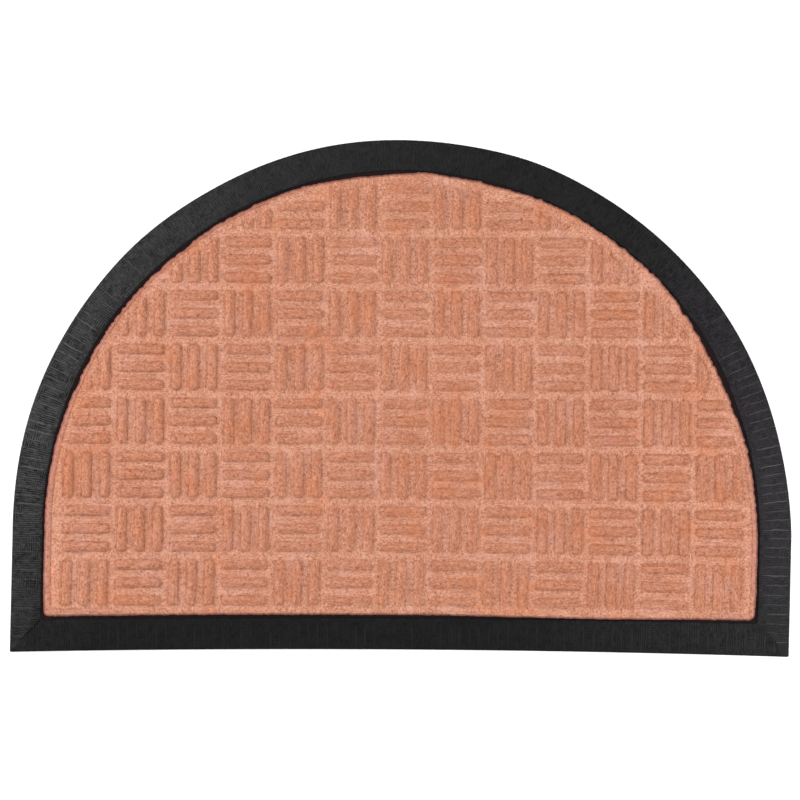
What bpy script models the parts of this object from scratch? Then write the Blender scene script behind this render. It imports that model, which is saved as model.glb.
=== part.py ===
"""Half-round doormat: a moulded rubber backing with a ramped border, and a needle-punched
carpet panel that lies in its pocket, with short raised bars in a basket-weave layout."""

import math

import bmesh
import bpy
from mathutils import Vector
from mathutils.geometry import delaunay_2d_cdt, intersect_line_sphere_2d

# Outline in metres. While the mat is laid out, y is 0 at the straight edge and grows towards the arch.
MAT_WIDTH = 0.600
SIDE_HEIGHT = 0.0902
BORDER_WIDTH = 0.0232
BASE_BORDER_WIDTH = 0.0241
ARCH_SEGMENTS = 72
BASE_SEGMENTS = 14
SIDE_SEGMENTS = 4
CORNER_SEGMENTS = 4
OUTER_CORNERS = (0.0010, 0.0010)
POCKET_CORNERS = (0.0012, 0.0016)

# Heights above the floor
RIM_HEIGHT = 0.0014
LIP_HEIGHT = 0.0036
BACKING_THICKNESS = 0.0020
FIELD_TOP = 0.0050
CARPET_WALL_TOP = 0.0040

# Cross-section of the rubber border
RIM_CHAMFER = 0.0004
LIP_WIDTH = 0.0052
LIP_CHAMFER = 0.0004

# The carpet panel in its pocket; the first of a pair is the left corner, the second the right
FLOOR_GAP = 0.0003
SIDE_GAP = 0.0026
BASE_GAP = 0.0027
CARPET_CORNERS = (0.0032, 0.0045)
EDGE_ROUND = 0.0011
EDGE_STRIP_WIDTH = 0.0036
BASE_STRIP_WIDTH = 0.0018
GROOVE_HALF_WIDTH = 0.0006
GROOVE_DEPTH = 0.0007
GROOVE_FADE = 0.0060

# Raised bars: three to a cell, and cells that turn by a quarter in both directions
CELL_PITCH_X = 0.0407
CELL_PITCH_Y = 0.04125
FIRST_CELL = (0.0004, 0.0509)
ROWS = 8
COLUMNS_EACH_SIDE = 6
BARS_IN_CELL = 3
BAR_LENGTH = 0.0350
BAR_WIDTH = 0.0074
BAR_PITCH = 0.01365
BAR_HEIGHT = 0.0014
BAR_WALL_RUN = 0.0018
SMALLEST_BAR_AREA = 0.00005

# How the real pattern strays from an even one: its columns lean, its rows are turned, and halfway out
# to each side its columns lie nearer to the middle.
COLUMN_LEAN = 0.0087
ROW_TURN = -0.0043
DRAWN_IN = 0.0018
DRAWN_IN_LENGTH = 0.64

# The bars stop at a circle inside the arch, whose centre is a little higher than the arch's own
BARS_CIRCLE_RADIUS = 0.2635
BARS_CIRCLE_LIFT = 0.0035

# How far the laid mat strays from a true drawing: the straight edge bows down towards its corners,
# the sides lean to the left at the bottom, and the arches swell and draw in.
BOW_CENTRE_X = -0.078
BOW_REACH = 0.373
BOW_DROP = 0.0059
BOW_HEIGHT = 0.190
SIDE_LEAN = 0.0021
OUTER_SWELLS = (
    # angle and spread in degrees, amount in metres
    {"angle": 14.0, "spread": 16.0, "amount": -0.0019},
    {"angle": 42.0, "spread": 12.0, "amount": -0.0004},
    {"angle": 70.0, "spread": 8.0, "amount": 0.0011},
    {"angle": 102.0, "spread": 15.0, "amount": 0.0012},
    {"angle": 132.0, "spread": 9.0, "amount": 0.0009},
    {"angle": 178.0, "spread": 14.0, "amount": -0.0012},
)
POCKET_SWELLS = (
    {"angle": 4.0, "spread": 16.0, "amount": -0.0023},
    {"angle": 22.0, "spread": 9.0, "amount": -0.0013},
    {"angle": 45.0, "spread": 16.0, "amount": -0.0003},
    {"angle": 103.0, "spread": 20.0, "amount": 0.0007},
    {"angle": 180.0, "spread": 20.0, "amount": -0.0010},
)
CARPET_SWELLS = (
    {"angle": 9.0, "spread": 13.0, "amount": -0.0017},
    {"angle": 26.0, "spread": 9.0, "amount": -0.0030},
    {"angle": 44.0, "spread": 4.0, "amount": 0.0006},
    {"angle": 55.0, "spread": 15.0, "amount": 0.0019},
    {"angle": 66.0, "spread": 5.0, "amount": 0.0008},
    {"angle": 85.0, "spread": 6.0, "amount": 0.0011},
    {"angle": 95.0, "spread": 5.0, "amount": -0.0004},
    {"angle": 108.0, "spread": 5.0, "amount": 0.0010},
    {"angle": 120.0, "spread": 4.0, "amount": 0.0006},
    {"angle": 144.0, "spread": 18.0, "amount": -0.0006},
)

# The carpet's straight edge is cut a little low on the right, and its sides draw in above that edge
SAG_CENTRE_X = 0.149
SAG_SPREAD = 0.081
SAG_DROP = 0.0021
TAPER_SHARE = 0.0047
TAPER_HEIGHT = 0.030

# How the field is filled: only inside its outline, with points this close counted as one
TRIANGLES_INSIDE = 1
SAME_POINT = 0.0000001

HARD_EDGE_ANGLE = math.radians(25)
RUBBER_FINISH = {"color": (0.035, 0.035, 0.037, 1.0), "roughness": 0.62, "metallic": 0.0}
CARPET_FINISH = {"color": (0.62, 0.28, 0.18, 1.0), "roughness": 0.95, "metallic": 0.0}


def clear_scene():
    for item in list(bpy.data.objects):
        bpy.data.objects.remove(item, do_unlink=True)


def make_material(name, finish):
    material = bpy.data.materials.new(name)
    material.use_nodes = True
    shader = material.node_tree.nodes["Principled BSDF"]
    shader.inputs["Base Color"].default_value = finish["color"]
    shader.inputs["Roughness"].default_value = finish["roughness"]
    shader.inputs["Metallic"].default_value = finish["metallic"]
    material.diffuse_color = finish["color"]
    return material


def swell_at(angle, swells):
    """How far an arch stands out of its circle at an angle in degrees."""
    total = 0.0
    for swell in swells:
        away = (angle - swell["angle"]) / swell["spread"]
        total += swell["amount"] * math.exp(-away * away)
    return total


def border_swells(inset):
    """The swells of the rubber at an inset: from the outer edge's own to the pocket's."""
    share = inset / BORDER_WIDTH
    blended = [{**swell, "amount": swell["amount"] * (1.0 - share)} for swell in OUTER_SWELLS]
    blended += [{**swell, "amount": swell["amount"] * share} for swell in POCKET_SWELLS]
    return blended


def arc_points(centre, radius, start, end, segments):
    points = []
    for step in range(segments + 1):
        angle = math.radians(start + (end - start) * step / segments)
        points.append(Vector((centre[0] + radius * math.cos(angle), centre[1] + radius * math.sin(angle))))
    return points


def between(start, end, segments):
    """Points that divide a straight run, without its two ends."""
    return [start.lerp(end, step / segments) for step in range(1, segments)]


def outline(inset, base_inset, corners, swells):
    """The mat's outline drawn in by an inset, anticlockwise from the left end of its straight edge."""
    plain_radius = MAT_WIDTH / 2 - inset
    left_side = -plain_radius - swell_at(180.0, swells)
    right_side = plain_radius + swell_at(0.0, swells)
    left, right = corners
    left_corner = arc_points((left_side + left, base_inset + left), left, 180, 270, CORNER_SEGMENTS)
    right_corner = arc_points((right_side - right, base_inset + right), right, 270, 360, CORNER_SEGMENTS)
    arch = []
    for step in range(ARCH_SEGMENTS + 1):
        degrees = 180 * step / ARCH_SEGMENTS
        radius = plain_radius + swell_at(degrees, swells)
        angle = math.radians(degrees)
        arch.append(Vector((radius * math.cos(angle), SIDE_HEIGHT + radius * math.sin(angle))))
    points = left_corner
    points += between(left_corner[-1], right_corner[0], BASE_SEGMENTS)
    points += right_corner
    points += between(right_corner[-1], arch[0], SIDE_SEGMENTS)
    points += arch
    points += between(arch[-1], left_corner[0], SIDE_SEGMENTS)
    return points


def settle(point):
    """Moves a point of the drawing to where it lies on the real mat."""
    away = (point.x - BOW_CENTRE_X) / BOW_REACH
    bow = BOW_DROP * away * away * max(0.0, 1.0 - point.y / BOW_HEIGHT)
    lean = SIDE_LEAN * max(0.0, 1.0 - point.y / SIDE_HEIGHT)
    return Vector((point.x - lean, point.y - bow))


def mat_centre():
    """The middle of the laid mat, which becomes the origin."""
    points = [settle(point) for point in outline(0.0, 0.0, OUTER_CORNERS, OUTER_SWELLS)]
    xs = [point.x for point in points]
    ys = [point.y for point in points]
    return Vector(((min(xs) + max(xs)) / 2, (min(ys) + max(ys)) / 2))


def border_ring(inset, base_inset, corners, height):
    """A ring of the rubber as it lies, centred on the origin."""
    centre = mat_centre()
    laid = [settle(point) - centre for point in outline(inset, base_inset, corners, border_swells(inset))]
    return [(point.x, point.y, height) for point in laid]


def carpet_outline(inset, base_inset):
    """The carpet's outline, drawn in from its own edge."""
    side = BORDER_WIDTH + SIDE_GAP + inset
    base = BASE_BORDER_WIDTH + BASE_GAP + base_inset
    points = outline(side, base, CARPET_CORNERS, CARPET_SWELLS)
    for point in points:
        low = max(0.0, 1.0 - (point.y - base) / TAPER_HEIGHT)
        away = (point.x - SAG_CENTRE_X) / SAG_SPREAD
        point.y -= SAG_DROP * math.exp(-away * away) * max(0.0, 1.0 - point.y / SIDE_HEIGHT)
        point.x *= 1.0 - TAPER_SHARE * low * low
    return points


def carpet_ring(inset, base_inset, height, dip=0.0):
    """A ring of the carpet as it lies. A dip lowers it, but not along the straight edge."""
    centre = mat_centre()
    lowest = BASE_BORDER_WIDTH + BASE_GAP + base_inset
    points = []
    for point in carpet_outline(inset, base_inset):
        laid = settle(point) - centre
        share = min(max(point.y - lowest, 0.0) / GROOVE_FADE, 1.0)
        points.append((laid.x, laid.y, height - dip * share))
    return points


def skin(shape, rings):
    """Joins each ring to the next with quads, and returns the rings' vertices."""
    loops = [[shape.verts.new(point) for point in points] for points in rings]
    for lower, upper in zip(loops, loops[1:]):
        count = len(lower)
        for here in range(count):
            after = (here + 1) % count
            shape.faces.new((lower[here], lower[after], upper[after], upper[here]))
    return loops


def fill_around(shape, outside, feet):
    """Fills a loop of vertices with triangles, and leaves the feet of the bars open."""
    loops = [outside] + feet
    verts = [vert for loop in loops for vert in loop]
    polygons = []
    first = 0
    for loop in loops:
        polygons.append(list(range(first, first + len(loop))))
        first += len(loop)
    flat = [vert.co.xy for vert in verts]
    filled = delaunay_2d_cdt(flat, [], polygons, TRIANGLES_INSIDE, SAME_POINT)
    _, _, triangles, sources, _, polygons_around = filled
    for triangle, around in zip(triangles, polygons_around):
        if around == [0]:
            shape.faces.new([verts[sources[corner][0]] for corner in triangle])


def shade(shape):
    """Smooth shading, with hard edges kept where two faces meet at more than a set angle."""
    for face in shape.faces:
        face.smooth = True
    for edge in shape.edges:
        edge.smooth = edge.calc_face_angle() < HARD_EDGE_ANGLE


def add_object(name, shape, material):
    bmesh.ops.recalc_face_normals(shape, faces=shape.faces)
    shade(shape)
    mesh = bpy.data.meshes.new(name)
    shape.to_mesh(mesh)
    shape.free()
    mesh.materials.append(material)
    item = bpy.data.objects.new(name, mesh)
    bpy.context.scene.collection.objects.link(item)
    return item


def make_rubber_backing():
    """Backing, ramped border, lip and pocket, moulded in one."""
    ramp_end = BORDER_WIDTH - LIP_WIDTH
    base_ramp_end = BASE_BORDER_WIDTH - LIP_WIDTH
    lip_end = BORDER_WIDTH - LIP_CHAMFER
    base_lip_end = BASE_BORDER_WIDTH - LIP_CHAMFER
    shape = bmesh.new()
    loops = skin(
        shape,
        [
            border_ring(0.0, 0.0, OUTER_CORNERS, 0.0),
            border_ring(0.0, 0.0, OUTER_CORNERS, RIM_HEIGHT - RIM_CHAMFER),
            border_ring(RIM_CHAMFER, RIM_CHAMFER, OUTER_CORNERS, RIM_HEIGHT),
            border_ring(ramp_end, base_ramp_end, POCKET_CORNERS, LIP_HEIGHT),
            border_ring(lip_end, base_lip_end, POCKET_CORNERS, LIP_HEIGHT),
            border_ring(BORDER_WIDTH, BASE_BORDER_WIDTH, POCKET_CORNERS, LIP_HEIGHT - LIP_CHAMFER),
            border_ring(BORDER_WIDTH, BASE_BORDER_WIDTH, POCKET_CORNERS, BACKING_THICKNESS),
        ],
    )
    shape.faces.new(reversed(loops[0]))
    shape.faces.new(loops[-1])
    return add_object("rubber_backing", shape, make_material("black_rubber", RUBBER_FINISH))


def inside_bars_circle(point, centre):
    """Whether a point is low on the mat, where the sides are straight, or inside the bars' circle."""
    return point.y <= centre.y or (point - centre).length <= BARS_CIRCLE_RADIUS


def cut_by_circle(corners, centre):
    """Cuts a bar's corners off where it would run into the plain margin under the arch."""
    kept = []
    for start, end in zip(corners, corners[1:] + corners[:1]):
        starts_inside = inside_bars_circle(start, centre)
        if starts_inside:
            kept.append(start)
        if starts_inside != inside_bars_circle(end, centre):
            hits = intersect_line_sphere_2d(start, end, centre, BARS_CIRCLE_RADIUS)
            kept.extend(hit for hit in hits if hit is not None)
    return kept


def drifted(point):
    """A point of the even bar pattern moved to where the real pattern has it."""
    x_off = point.x - FIRST_CELL[0]
    y_off = point.y - FIRST_CELL[1]
    inwards = DRAWN_IN * math.sin(2 * math.pi * x_off / DRAWN_IN_LENGTH)
    return Vector((point.x + COLUMN_LEAN * y_off - inwards, point.y + ROW_TURN * x_off))


def polygon_area(corners):
    total = 0.0
    for start, end in zip(corners, corners[1:] + corners[:1]):
        total += start.x * end.y - end.x * start.y
    return abs(total) / 2


def bar_outlines():
    """Corners of every raised bar at its foot, in the drawing's own coordinates."""
    first_x, first_y = FIRST_CELL
    circle_centre = Vector((0.0, SIDE_HEIGHT + BARS_CIRCLE_LIFT))
    bars = []
    for row in range(ROWS):
        for column in range(-COLUMNS_EACH_SIDE, COLUMNS_EACH_SIDE + 1):
            middle = Vector((first_x + column * CELL_PITCH_X, first_y + row * CELL_PITCH_Y))
            upright = (row + column) % 2 == 0
            for index in range(BARS_IN_CELL):
                offset = (index - (BARS_IN_CELL - 1) / 2) * BAR_PITCH
                if upright:
                    centre = middle + Vector((offset, 0.0))
                    half = Vector((BAR_WIDTH / 2, BAR_LENGTH / 2))
                else:
                    centre = middle + Vector((0.0, offset))
                    half = Vector((BAR_LENGTH / 2, BAR_WIDTH / 2))
                corners = [
                    centre - half,
                    centre + Vector((half.x, -half.y)),
                    centre + half,
                    centre + Vector((-half.x, half.y)),
                ]
                corners = cut_by_circle([drifted(corner) for corner in corners], circle_centre)
                if len(corners) > 2 and polygon_area(corners) >= SMALLEST_BAR_AREA:
                    bars.append(corners)
    return bars


def make_carpet_panel():
    """The carpet with its rounded edge, the groove along it, and the raised bars."""
    groove = EDGE_STRIP_WIDTH + GROOVE_HALF_WIDTH
    base_groove = BASE_STRIP_WIDTH + GROOVE_HALF_WIDTH
    field = groove + GROOVE_HALF_WIDTH
    base_field = base_groove + GROOVE_HALF_WIDTH
    shape = bmesh.new()
    loops = skin(
        shape,
        [
            carpet_ring(0.0, 0.0, BACKING_THICKNESS + FLOOR_GAP),
            carpet_ring(0.0, 0.0, CARPET_WALL_TOP),
            carpet_ring(EDGE_ROUND, EDGE_ROUND, FIELD_TOP),
            carpet_ring(EDGE_STRIP_WIDTH, BASE_STRIP_WIDTH, FIELD_TOP),
            carpet_ring(groove, base_groove, FIELD_TOP, GROOVE_DEPTH),
            carpet_ring(field, base_field, FIELD_TOP),
        ],
    )
    shape.faces.new(reversed(loops[0]))

    centre = mat_centre()
    feet = []
    for corners in bar_outlines():
        spots = [settle(corner) - centre for corner in corners]
        feet.append([shape.verts.new((spot.x, spot.y, FIELD_TOP)) for spot in spots])
    fill_around(shape, loops[-1], feet)
    tops = [shape.faces.new(verts) for verts in feet]
    shape.normal_update()
    bmesh.ops.inset_individual(
        shape, faces=tops, thickness=BAR_WALL_RUN, depth=BAR_HEIGHT, use_even_offset=True
    )
    return add_object("carpet_panel", shape, make_material("terracotta_carpet", CARPET_FINISH))


def main():
    clear_scene()
    make_rubber_backing()
    make_carpet_panel()


main()
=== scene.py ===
import math

import bmesh
import bpy
import numpy as np
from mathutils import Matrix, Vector
from mathutils.geometry import delaunay_2d_cdt


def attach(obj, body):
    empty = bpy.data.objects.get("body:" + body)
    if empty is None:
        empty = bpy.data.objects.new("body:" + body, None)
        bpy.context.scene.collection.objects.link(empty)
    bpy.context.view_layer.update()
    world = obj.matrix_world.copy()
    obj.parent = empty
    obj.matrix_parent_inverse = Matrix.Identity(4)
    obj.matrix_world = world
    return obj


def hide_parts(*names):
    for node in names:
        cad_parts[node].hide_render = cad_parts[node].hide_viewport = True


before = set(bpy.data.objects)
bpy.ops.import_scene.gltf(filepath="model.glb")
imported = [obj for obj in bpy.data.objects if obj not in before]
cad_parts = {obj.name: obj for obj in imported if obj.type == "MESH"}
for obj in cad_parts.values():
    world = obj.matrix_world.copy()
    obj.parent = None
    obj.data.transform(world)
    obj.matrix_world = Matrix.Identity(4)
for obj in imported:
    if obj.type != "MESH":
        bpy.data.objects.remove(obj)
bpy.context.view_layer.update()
print("frame loaded")

# The mat as it is drawn, in metres: y is 0 at the straight edge and grows towards the arch.
# The swells, the bow and the lean say how the real mat strays from that drawing.
matShape = {
    "halfWidth": 0.300,
    "sideHeight": 0.0902,
    "border": 0.0232,
    "baseBorder": 0.0241,
    "middle": (-0.000892, 0.192418),  # this point of the laid mat is the origin
    "bow": {"centre": -0.078, "reach": 0.373, "drop": 0.0059, "height": 0.190},
    "lean": 0.0021,
    "outerSwells": [  # angle on the arch and spread in degrees, and amount
        (14.0, 16.0, -0.0019),
        (42.0, 12.0, -0.0004),
        (70.0, 8.0, 0.0011),
        (102.0, 15.0, 0.0012),
        (132.0, 9.0, 0.0009),
        (178.0, 14.0, -0.0012),
    ],
    "pocketSwells": [
        (4.0, 16.0, -0.0023),
        (22.0, 9.0, -0.0013),
        (45.0, 16.0, -0.0003),
        (103.0, 20.0, 0.0007),
        (180.0, 20.0, -0.0010),
    ],
    "stations": {"corner": 6, "base": 560, "side": 84, "arch": 900},
}


def bell(values, centre, spread):
    return np.exp(-(((values - centre) / spread) ** 2))


def smoothStep(values, start, width):
    rise = np.clip((values - start) / width, 0.0, 1.0)
    return rise * rise * (3.0 - 2.0 * rise)


def swellAt(degrees, swells):
    total = np.zeros_like(degrees)
    for angle, spread, amount in swells:
        total += amount * bell(degrees, angle, spread)
    return total


def angleAround(points):
    # for points of the drawing: degrees around the arch's centre, from -180 to 180
    return np.degrees(np.arctan2(points[:, 1] - matShape["sideHeight"], points[:, 0]))


def readAround(points, table):
    # the columns of a table by angle around the arch's centre, read at points of the drawing
    angles, *columns = np.array(table).T
    here = angleAround(points)
    return [np.interp(here, angles, column, period=360.0) for column in columns]


def cornerArc(x, y, radius, start, count):
    angles = np.radians(np.linspace(start, start + 90.0, count))
    return np.column_stack((x + radius * np.cos(angles), y + radius * np.sin(angles)))


def straight(start, end, count):
    # points between two ends, without the ends
    steps = np.arange(1, count) / count
    return start + (end - start) * steps[:, None]


def drawnOutline(inset, baseInset, corners, swells):
    # the outline drawn in by an inset, anticlockwise from the left end of the straight edge
    counts = matShape["stations"]
    plainRadius = matShape["halfWidth"] - inset
    left = -plainRadius - swellAt(np.array([180.0]), swells)[0]
    right = plainRadius + swellAt(np.array([0.0]), swells)[0]
    inLeft, inRight = corners
    leftCorner = cornerArc(left + inLeft, baseInset + inLeft, inLeft, 180.0, counts["corner"])
    rightCorner = cornerArc(right - inRight, baseInset + inRight, inRight, 270.0, counts["corner"])
    degrees = np.linspace(0.0, 180.0, counts["arch"])
    radius = plainRadius + swellAt(degrees, swells)
    angles = np.radians(degrees)
    archHeight = matShape["sideHeight"] + radius * np.sin(angles)
    arch = np.column_stack((radius * np.cos(angles), archHeight))
    base = straight(leftCorner[-1], rightCorner[0], counts["base"])
    rightSide = straight(rightCorner[-1], arch[0], counts["side"])
    leftSide = straight(arch[-1], leftCorner[0], counts["side"])
    return np.vstack((leftCorner, base, rightCorner, rightSide, arch, leftSide))


def laid(points):
    # from the drawing to where the mat lies, with the origin under its middle
    bow = matShape["bow"]
    x, y = points[:, 0], points[:, 1]
    drop = bow["drop"] * ((x - bow["centre"]) / bow["reach"]) ** 2
    drop *= np.maximum(0.0, 1.0 - y / bow["height"])
    lean = matShape["lean"] * np.maximum(0.0, 1.0 - y / matShape["sideHeight"])
    return np.column_stack((x - lean - matShape["middle"][0], y - drop - matShape["middle"][1]))


waves = {"count": 14, "pitches": (0.7, 1.7), "divisor": 5.0}  # pitches are shares of a lump's size


def wobble(points, size, seed):
    # smooth random heights from about -1 to 1, with lumps of the given size
    rng = np.random.default_rng(seed)
    total = np.zeros(len(points))
    for _ in range(waves["count"]):
        heading = rng.uniform(0, 2 * math.pi)
        pitch = size * rng.uniform(*waves["pitches"])
        along = points[:, 0] * math.cos(heading) + points[:, 1] * math.sin(heading)
        total += np.sin(2 * math.pi * along / pitch + rng.uniform(0, 2 * math.pi))
    return total / waves["divisor"]


def meshFromRings(rings, closeTop=False):
    # quads from each ring to the next, rings of the same count, and one face that closes the bottom
    count = len(rings[0])
    verts = np.vstack(rings)
    here = np.arange(count)
    after = (here + 1) % count
    faces = []
    for step in range(len(rings) - 1):
        low, high = step * count, (step + 1) * count
        quads = np.column_stack((low + here, low + after, high + after, high + here))
        faces.extend(quads.tolist())
    faces.append(list(range(count - 1, -1, -1)))
    if closeTop:
        faces.append(list(range((len(rings) - 1) * count, len(rings) * count)))
    return verts, faces


def addObject(name, data):
    thing = bpy.data.objects.new(name, data)
    bpy.context.scene.collection.objects.link(thing)
    return thing


def addMesh(name, verts, faces, material):
    mesh = bpy.data.meshes.new(name)
    mesh.from_pydata(np.asarray(verts).tolist(), [], faces, shade_flat=False)
    mesh.materials.append(material)
    piece = addObject(name, mesh)
    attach(piece, "root")
    return piece


def addAttribute(piece, name, values):
    layer = piece.data.attributes.new(name, "FLOAT", "POINT")
    layer.data.foreach_set("value", np.asarray(values, dtype=np.float32))


def markHardEdges(piece, hardAngle):
    # edges where two faces meet at more than the hard angle, in degrees, aren't shaded smooth
    shape = bmesh.new()
    shape.from_mesh(piece.data)
    limit = math.radians(hardAngle)
    for edge in shape.edges:
        edge.smooth = len(edge.link_faces) != 2 or edge.calc_face_angle(0.0) < limit
    shape.to_mesh(piece.data)
    shape.free()


def startMaterial(name, finish):
    # a new material, the tree of its nodes and its shader
    material = bpy.data.materials.new(name)
    material.use_nodes = True
    tree = material.node_tree
    shader = tree.nodes["Principled BSDF"]
    shader.inputs["Roughness"].default_value = finish["roughness"]
    shader.inputs["Specular IOR Level"].default_value = finish["specular"]
    shader.inputs["Sheen Weight"].default_value = finish.get("sheen", 0.0)
    shader.inputs["Sheen Roughness"].default_value = finish.get("sheenRoughness", 0.5)
    return material, tree, shader


def objectCoords(tree):
    return tree.nodes.new("ShaderNodeTexCoord").outputs["Object"]


def noiseNode(tree, coords, settings):
    # the settings are scale, detail and, for a stretched noise, the scale along each axis
    scale, detail, *stretch = settings
    noise = tree.nodes.new("ShaderNodeTexNoise")
    noise.inputs["Scale"].default_value = scale
    noise.inputs["Detail"].default_value = detail
    if stretch:
        mapping = tree.nodes.new("ShaderNodeMapping")
        mapping.inputs["Scale"].default_value = stretch[0]
        tree.links.new(coords, mapping.inputs["Vector"])
        coords = mapping.outputs["Vector"]
    tree.links.new(coords, noise.inputs["Vector"])
    return noise.outputs["Fac"]


def axesOf(tree, vector):
    node = tree.nodes.new("ShaderNodeSeparateXYZ")
    tree.links.new(vector, node.inputs["Vector"])
    return node.outputs


def rampNode(tree, source, span, ends=(0.0, 1.0)):
    # a smooth step from one end to the other over a span of the source's values
    ramp = tree.nodes.new("ShaderNodeMapRange")
    ramp.interpolation_type = "SMOOTHSTEP"
    for name, value in zip(("From Min", "From Max", "To Min", "To Max"), (*span, *ends)):
        ramp.inputs[name].default_value = value
    tree.links.new(source, ramp.inputs["Value"])
    return ramp.outputs["Result"]


def mathNode(tree, operation, first, second):
    node = tree.nodes.new("ShaderNodeMath")
    node.operation = operation
    for socket, value in zip(node.inputs, (first, second)):
        if isinstance(value, (int, float)):
            socket.default_value = value
        else:
            tree.links.new(value, socket)
    return node.outputs["Value"]


def mixNode(tree, factor, first, second, kind="RGBA"):
    node = tree.nodes.new("ShaderNodeMix")
    node.data_type = kind
    for name, value in (("Factor", factor), ("A", first), ("B", second)):
        if isinstance(value, tuple):
            node.inputs[name].default_value = (*value, 1.0)
        else:
            tree.links.new(value, node.inputs[name])
    return node.outputs["Result"]


def attributeNode(tree, name):
    node = tree.nodes.new("ShaderNodeAttribute")
    node.attribute_name = name
    return node.outputs["Fac"]


def addBump(tree, shader, height, settings):
    # the settings are strength and distance
    bump = tree.nodes.new("ShaderNodeBump")
    for name, value in zip(("Strength", "Distance"), settings):
        bump.inputs[name].default_value = value
    tree.links.new(height, bump.inputs["Height"])
    tree.links.new(bump.outputs["Normal"], shader.inputs["Normal"])


rubber = {
    "ramp": [  # inset from the outer edge and height above the floor
        (0.0006, 0.0),
        (0.0002, 0.0002),
        (0.0, 0.0006),
        (0.0, 0.0010),
        (0.0002, 0.0013),
        (0.0006, 0.0015),
        (0.0016, 0.00166),
        (0.0040, 0.00198),
        (0.0070, 0.00236),
        (0.0100, 0.00273),
        (0.0130, 0.00309),
        (0.0160, 0.00340),
        (0.0172, 0.00351),
        (0.0184, 0.00359),
        (0.0200, 0.00362),
        (0.0218, 0.00362),
        (0.0227, 0.00357),
        (0.0231, 0.00340),
        (0.0232, 0.00315),
        (0.0232, 0.0021),
        (0.0238, 0.0020),
        (0.0246, 0.0020),
        (0.0254, 0.0020),
    ],
    "topRings": (5, 16),  # those of the rings that make the slope for the ribs
    "pocketShadeTones": (0.0, 0.1, 0.2, 0.3, 0.6, 1.0, 1.0),  # painted shade of the last rings, down into the pocket
    "corners": ((0.0010, 0.0010), (0.0012, 0.0016)),  # of the outer edge and the pocket
    "mitreRings": (9, 17),  # rings that dip at the two corners of the straight edge, where shade is painted
    "mitreDepths": (0.0006, 0.0001),
    "unevenness": 0.00010,
    "lumpSize": 0.022,
    "lumpyAbove": 0.0014,
    "wearAndSheenAround": [  # angle around the arch's centre, how grey the rubber is there, and how mottled; greyest on the left and right, partly wear and partly painted sheen of the side lamps
        (-17.0, 0.32, 0.4),
        (-10.0, 0.43, 0.5),
        (8.0, 0.47, 0.5),
        (20.0, 0.38, 0.6),
        (36.0, 0.29, 0.9),
        (44.0, 0.19, 1.0),
        (52.0, 0.11, 0.9),
        (76.0, 0.11, 0.6),
        (92.0, 0.21, 0.6),
        (108.0, 0.32, 0.6),
        (120.0, 0.48, 0.7),
        (140.0, 0.74, 0.9),
        (156.0, 0.70, 1.0),
        (164.0, 0.82, 1.0),
        (172.0, 0.70, 1.0),
        (180.0, 0.56, 1.0),
        (190.0, 0.44, 1.0),
        (197.0, 0.26, 1.0),
    ],
    "wearAndSheenAlongBase": [  # the same for the straight edge, by x in the drawing
        (-0.30, 0.12, 0.9),
        (-0.24, 0.01, 0.9),
        (0.11, 0.01, 0.9),
        (0.15, 0.08, 0.8),
        (0.30, 0.28, 0.7),
    ],
    "noises": {  # scale, detail and, where it is stretched, the scale along the edge and inwards
        "blotches": (160.0, 3.0),
        "grain": (900.0, 2.0),
        "choice": (110.0, 1.0),
        "inwards": (1100.0, 1.0, (1.0, 0.22, 1.0)),
        "sideways": (1100.0, 1.0, (0.22, 1.0, 1.0)),
    },
    "spans": {  # the values between which each pattern rises from 0 to 1
        "blotches": (0.36, 0.64),
        "grain": (0.36, 0.64),
        "choice": (0.55, 0.60),
        "strokes": (0.44, 0.64),
    },
    "shares": {"blotches": 0.25, "grain": 0.15, "strokes": 0.60},
    "weavePitch": 0.00172,
    "weaveShare": 0.15,
    "violetFromX": ((0.12, 0.27), (0.0, 1.0)),  # where the violet tint of the dust and painted sheen sets in, and how much
    "violetFromY": ((-0.17, -0.12), (0.2, 1.0)),
    "dark": (0.0004, 0.0004, 0.0005),
    "light": (0.0060, 0.0059, 0.0061),
    "dustAndSheen": (0.050, 0.049, 0.051),
    "violetDustAndSheen": (0.056, 0.046, 0.056),
    "pocketShadeColor": (0.0110, 0.0036, 0.0030),
    "finish": {"roughness": 0.55, "specular": 0.10},
    "bump": (0.5, 0.0003),
    "hardAngle": 50.0,
    "seed": 11,
}


def rampHeight(inset):
    first, last = rubber["topRings"]
    profile = np.array(rubber["ramp"][first:last])
    return np.interp(inset, profile[:, 0], profile[:, 1])


def drawnBorder(inset):
    share = inset / matShape["border"]
    swells = []
    for name, part in (("outerSwells", 1.0 - share), ("pocketSwells", share)):
        swells += [(angle, spread, amount * part) for angle, spread, amount in matShape[name]]
    outer, pocket = rubber["corners"]
    corners = [first + (second - first) * share for first, second in zip(outer, pocket)]
    return drawnOutline(inset, share * matShape["baseBorder"], corners, swells)


def borderRing(inset, height):
    points = laid(drawnBorder(inset))
    lift = 0.0
    if height > rubber["lumpyAbove"]:
        lift = rubber["unevenness"] * wobble(points, rubber["lumpSize"], rubber["seed"])
    return np.column_stack((points, np.full(len(points), height) + lift))


def cornerStations():
    # the first station of both corners of the straight edge, and how many stations each has
    counts = matShape["stations"]
    return 0, counts["corner"] + counts["base"] - 1, counts["corner"]


def wearAndSheenStations():
    # for each station of the outer edge: how grey the rubber is there, partly wear and partly
    # painted sheen, and how mottled
    drawn = drawnBorder(0.0)
    left, right, count = cornerStations()
    station = np.arange(len(drawn))
    onBase = (station >= left + count // 2) & (station < right + count // 2)
    places, *columns = np.array(rubber["wearAndSheenAlongBase"]).T
    alongBase = [np.interp(drawn[:, 0], places, column) for column in columns]
    around = readAround(drawn, rubber["wearAndSheenAround"])
    return [np.where(onBase, low, high) for low, high in zip(alongBase, around)]


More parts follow.
